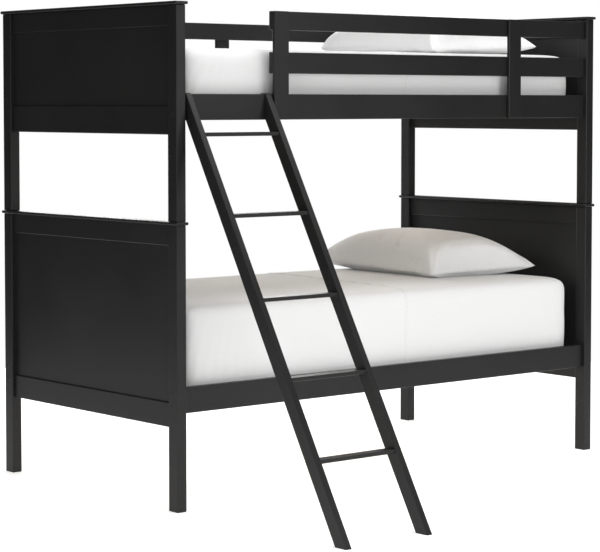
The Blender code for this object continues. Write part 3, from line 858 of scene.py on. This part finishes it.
start_new()
bpy.ops.mesh.primitive_cylinder_add(
    vertices=BOLT_FACETS, radius=BOLT_HEAD[0], depth=BOLT_HEAD[1], location=(BOLT_HEAD[1] / 2, 0.0, 0.0),
    rotation=(0.0, pi / 2, 0.0),
)
bolt = bpy.context.object
settle(bolt)
faces_facing(bolt, (-1.0, 0.0, 0.0))
bpy.ops.mesh.bevel(offset=0.0007, segments=3, affect="EDGES")
bpy.ops.object.mode_set(mode="OBJECT")
faces_facing(bolt, (1.0, 0.0, 0.0))
bpy.ops.mesh.inset(thickness=BOLT_HEAD[0] - BOLT_SHANK[0])
bpy.ops.mesh.extrude_region_move(TRANSFORM_OT_translate={"value": (BOLT_SHANK[1], 0.0, 0.0)})
bpy.ops.mesh.bevel(offset=0.0006, segments=2, affect="EDGES")
bpy.ops.object.mode_set(mode="OBJECT")
start_new()
bpy.ops.mesh.primitive_cylinder_add(
    vertices=6, radius=SOCKET[0], depth=2 * SOCKET[1], rotation=(0.0, pi / 2, 0.0)
)
carve(bolt, bpy.context.object)
bpy.ops.object.shade_smooth_by_angle(angle=radians(35.0))
print("bolt:", len(bolt.data.polygons), "faces, mm:", [round(1000 * side, 1) for side in bolt.dimensions])

# %% One barrel nut
NUT_SIZE = (0.0048, 0.0125)  # radius and length
NUT_SLOT = (0.0110, 0.0024, 0.0014)

start_new()
bpy.ops.mesh.primitive_cylinder_add(
    vertices=BOLT_FACETS, radius=NUT_SIZE[0], depth=NUT_SIZE[1], location=(0.0, NUT_SIZE[1] / 2, 0.0),
    rotation=(pi / 2, 0.0, 0.0),
)
nut = bpy.context.object
settle(nut)
for way in (-1.0, 1.0):
    faces_facing(nut, (0.0, way, 0.0))
    bpy.ops.mesh.bevel(offset=0.0005, segments=2, affect="EDGES")
    bpy.ops.object.mode_set(mode="OBJECT")
start_new()
bpy.ops.mesh.primitive_cube_add(size=1.0)
slot_cutter = bpy.context.object
slot_cutter.scale = (NUT_SLOT[0], 2 * NUT_SLOT[1], NUT_SLOT[2])
settle(slot_cutter)
carve(nut, slot_cutter)
start_new()
bpy.ops.mesh.primitive_cylinder_add(
    vertices=24, radius=BOLT_SHANK[0] + 0.0002, depth=0.04, rotation=(0.0, pi / 2, 0.0),
    location=(0.0, NUT_SIZE[1] / 2, 0.0),
)
carve(nut, bpy.context.object)
bpy.ops.object.shade_smooth_by_angle(angle=radians(35.0))
print("barrel nut:", len(nut.data.polygons), "faces")

# %% Fit them to every rail end
HEAD_SUNK = 0.0004
BOLTS_APART = 0.049
NUT_FROM_END = 0.045
NUT_SUNK = 0.0025


def place_copy(piece, name, spot, turned, body, finish):
    """A copy of one fastener at a spot, facing the other way if turned, on a body and in a finish."""
    twin = copy_of(piece, name)
    turn = Matrix.Rotation(pi if turned else 0.0, 4, "Z")
    twin.data.transform(Matrix.Translation(spot) @ turn)
    twin.data.materials.clear()
    twin.data.materials.append(finish)
    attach(twin, body)


for level in ("lower", "upper"):
    for row in ("front", "back"):
        rail_low, rail_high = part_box(f"{level}_side_rail_{row}")
        for side in ("left", "right"):
            post_low, post_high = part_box(f"{level}_post_{row}_{side}")
            left = side == "left"
            face_x = post_low.x + HEAD_SUNK if left else post_high.x - HEAD_SUNK
            nut_x = rail_low.x + NUT_FROM_END if left else rail_high.x - NUT_FROM_END
            nut_y = rail_high.y - NUT_SUNK if row == "front" else rail_low.y + NUT_SUNK
            for number, off in enumerate((-BOLTS_APART / 2, BOLTS_APART / 2), 1):
                spot_z = (rail_low.z + rail_high.z) / 2 + off
                tag = f"{level}_{row}_{side}_{number}"
                spot = Vector((face_x, (post_low.y + post_high.y) / 2, spot_z))
                body = level + "_bed"
                place_copy(bolt, "bolt_" + tag, spot, not left, body, black_steel)
                spot = Vector((nut_x, nut_y, spot_z))
                place_copy(nut, "barrel_nut_" + tag, spot, row == "front", body, zinc)
bpy.data.objects.remove(bolt, do_unlink=True)
bpy.data.objects.remove(nut, do_unlink=True)
print("bolts and nuts fitted to 8 rail ends")

# %% [markdown]
# ## The floor and the light
#
# A wide pale floor, a big soft window of light in front of the bed to the right, and a weaker one above.
# The floor glows a little by itself, as a white studio floor under bright lamps seems to: it fills in the
# undersides. What the camera sees past the floor is plain white, and what the paint mirrors is dimmer.

# %% Floor
FLOOR_RADIUS = 3.6

bpy.ops.object.select_all(action="DESELECT")
bpy.ops.mesh.primitive_circle_add(vertices=96, radius=FLOOR_RADIUS, fill_type="NGON")
floor = bpy.context.object
floor.name = "floor"
floor_white, tree, shader = new_material("pale_floor")
shader.inputs["Base Color"].default_value = (0.80, 0.80, 0.80, 1.0)
shader.inputs["Roughness"].default_value = 0.9
shader.inputs["Specular IOR Level"].default_value = 0.1
shader.inputs["Emission Color"].default_value = (1.0, 1.0, 1.0, 1.0)
shader.inputs["Emission Strength"].default_value = 0.62
floor.data.materials.append(floor_white)
print("floor:", FLOOR_RADIUS, "m")

# %% Light
world = bpy.data.worlds.new("studio")
bpy.context.scene.world = world
world.use_nodes = True
sky = world.node_tree
sky.nodes.clear()
direction = add(sky, "TexCoord").outputs["Generated"]
height = add(sky, "SeparateXYZ", {0: direction}).outputs["Z"]
overhead = ranged(sky, height, 0.05, 0.9, 0.07, 0.25)
room = add(sky, "Background", {"Color": (1.0, 1.0, 1.0, 1.0), "Strength": overhead})
backdrop = add(sky, "Background", {"Color": (1.0, 1.0, 1.0, 1.0), "Strength": 1.0})
seen = add(sky, "LightPath").outputs["Is Camera Ray"]
mix = add(sky, "MixShader", {0: seen, 1: room.outputs[0], 2: backdrop.outputs[0]})
add(sky, "OutputWorld", {"Surface": mix.outputs[0]})


def soft_light(name, place, target, size, power):
    """A rectangular window of light that faces its target."""
    light = bpy.data.lights.new(name, "AREA")
    light.shape = "RECTANGLE"
    light.size, light.size_y = size
    light.energy = power
    lamp = bpy.data.objects.new(name, light)
    bpy.context.scene.collection.objects.link(lamp)
    lamp.location = place
    lamp.rotation_euler = (Vector(target) - Vector(place)).to_track_quat("-Z", "Y").to_euler()
    return lamp


soft_light("front_window", (0.7, -4.2, 1.6), (0.0, 0.3, 0.8), (2.2, 2.0), 54.0)
soft_light("corner_window", (-2.6, -4.2, 1.5), (0.3, 0.0, 0.8), (2.0, 2.0), 35.0)
soft_light("top_window", (0.3, -0.4, 4.2), (0.2, 0.2, 0.0), (3.0, 3.0), 130.0)
soft_light("back_window", (1.3, 4.2, 1.7), (0.2, 0.4, 0.7), (3.6, 2.2), 150.0)
soft_light("left_window", (-4.4, -1.6, 0.8), (0.0, 0.3, 0.8), (1.6, 1.8), 46.0)
print("lights:", [lamp.name for lamp in bpy.data.lights])
